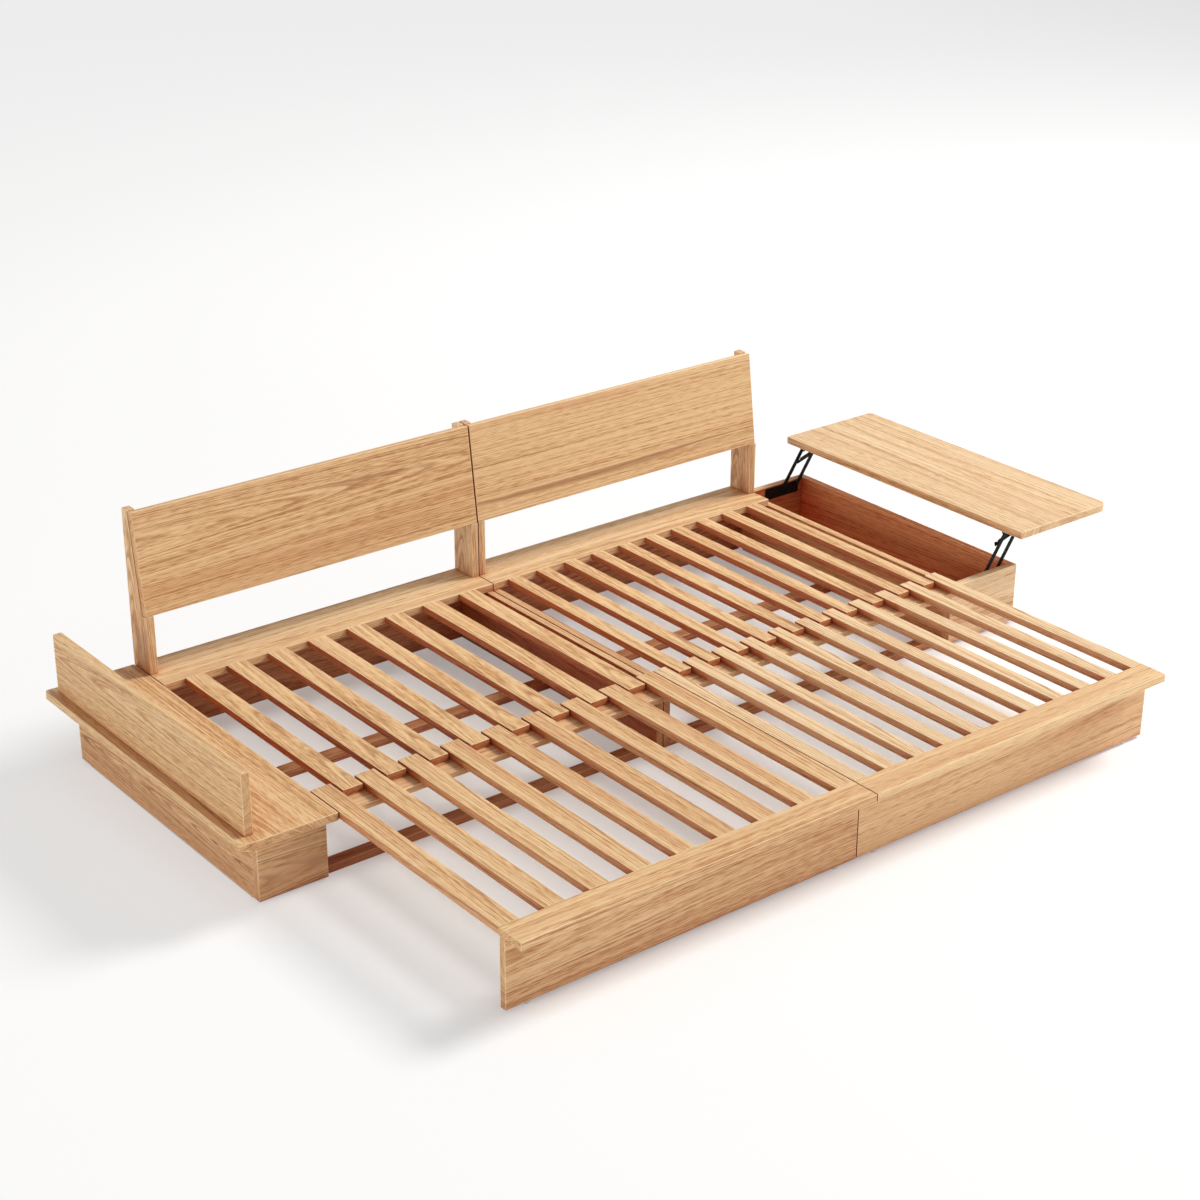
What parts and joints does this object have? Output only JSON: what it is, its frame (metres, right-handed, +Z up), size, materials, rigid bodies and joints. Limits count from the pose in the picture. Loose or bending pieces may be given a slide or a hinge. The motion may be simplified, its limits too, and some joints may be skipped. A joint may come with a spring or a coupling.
{
  "type": "sofa bed",
  "caption": "light oak sofa bed with two pull-out slatted seats, leaning backrests, a low arm and a lift-top storage box",
  "frame": {"origin": "the centre of the bottom of the bounding box of the rest pose, on the floor", "axes": "+X along the sofa towards the storage box, +Y from the front to the back, +Z up"},
  "size_m": [2.797, 1.623, 0.622],
  "materials": {
    "oak": "oiled oak, satin",
    "pale_oak": "oiled oak, satin",
    "black_steel": "black, satin",
    "grey_felt": "pressed felt"
  },
  "bodies": {
    "frame": {"left_side_board": "oak", "left_arm_panel": "oak", "left_box_front": "oak", "left_box_outer_side": "oak", "left_box_inner_side": "oak", "left_box_back": "oak", "left_box_glide": "grey_felt", "left_back_board_with_fixed_slats": "oak", "left_rear_apron": "oak", "left_seam_side_panel": "oak", "left_front_rail": "oak", "left_front_stretcher": "oak", "left_middle_stretcher": "oak", "left_outer_runner": "oak", "left_inner_runner": "oak", "left_outer_post": "oak", "left_inner_post": "oak", "left_backrest_panel": "oak", "right_back_board_with_fixed_slats": "oak", "right_rear_apron": "oak", "right_seam_side_panel": "oak", "right_front_rail": "oak", "right_front_stretcher": "oak", "right_middle_stretcher": "oak", "right_outer_runner": "oak", "right_inner_runner": "oak", "right_outer_post": "oak", "right_inner_post": "oak", "right_backrest_panel": "oak", "storage_front": "oak", "storage_back": "oak", "storage_inner_side": "oak", "storage_outer_side": "oak", "storage_floor": "oak", "storage_glide": "grey_felt", "front_lift_base_bracket": "black_steel", "rear_lift_base_bracket": "black_steel"},
    "left_pullout": {"left_pullout_slats_with_batten": "pale_oak", "left_pullout_front_board": "oak", "left_pullout_apron": "oak", "left_pullout_cleat": "oak", "left_pullout_outer_glide": "grey_felt", "left_pullout_inner_glide": "grey_felt"},
    "right_pullout": {"right_pullout_slats_with_batten": "pale_oak", "right_pullout_front_board": "oak", "right_pullout_apron": "oak", "right_pullout_cleat": "oak", "right_pullout_outer_glide": "grey_felt", "right_pullout_inner_glide": "grey_felt"},
    "arms_a": {"front_lift_arm_a": "black_steel", "rear_lift_arm_a": "black_steel"},
    "arms_b": {"front_lift_arm_b": "black_steel", "rear_lift_arm_b": "black_steel"},
    "catches": {"front_lift_catch": "black_steel", "rear_lift_catch": "black_steel"},
    "lid": {"storage_lid": "oak", "front_lift_top_bracket": "black_steel", "rear_lift_top_bracket": "black_steel"}
  },
  "joints": [
    {"name": "left_pullout_slide", "type": "slide", "parent": "frame", "child": "left_pullout", "axis": [0, 1, 0], "range_m": [0, 0.675]},
    {"name": "right_pullout_slide", "type": "slide", "parent": "frame", "child": "right_pullout", "axis": [0, 1, 0], "range_m": [0, 0.675]},
    {"name": "lift_swing", "type": "hinge", "parent": "frame", "child": "arms_a", "pos_m": [1.00225, 0.357, 0.167], "axis": [0, -1, 0], "range_deg": [0, 124.5]},
    {"name": "lid_level", "type": "hinge", "parent": "arms_a", "child": "lid", "pos_m": [1.07475, 0.357, 0.27249], "axis": [0, -1, 0], "range_deg": [-124.5, 0]},
    {"name": "arm_b_swing", "type": "hinge", "parent": "frame", "child": "arms_b", "pos_m": [1.05425, 0.357, 0.167], "axis": [0, -1, 0], "range_deg": [0, 124.5]},
    {"name": "catch_fold", "type": "hinge", "parent": "arms_b", "child": "catches", "pos_m": [1.1195, 0.357, 0.26194], "axis": [0, -1, 0], "range_deg": [0, 39.24]}
  ],
  "couplings": [
    {"joint": "lid_level", "follows": "lift_swing", "ratio": -1},
    {"joint": "arm_b_swing", "follows": "lift_swing", "ratio": 1},
    {"joint": "catch_fold", "follows": "lift_swing", "ratio": 0.31508}
  ]
}
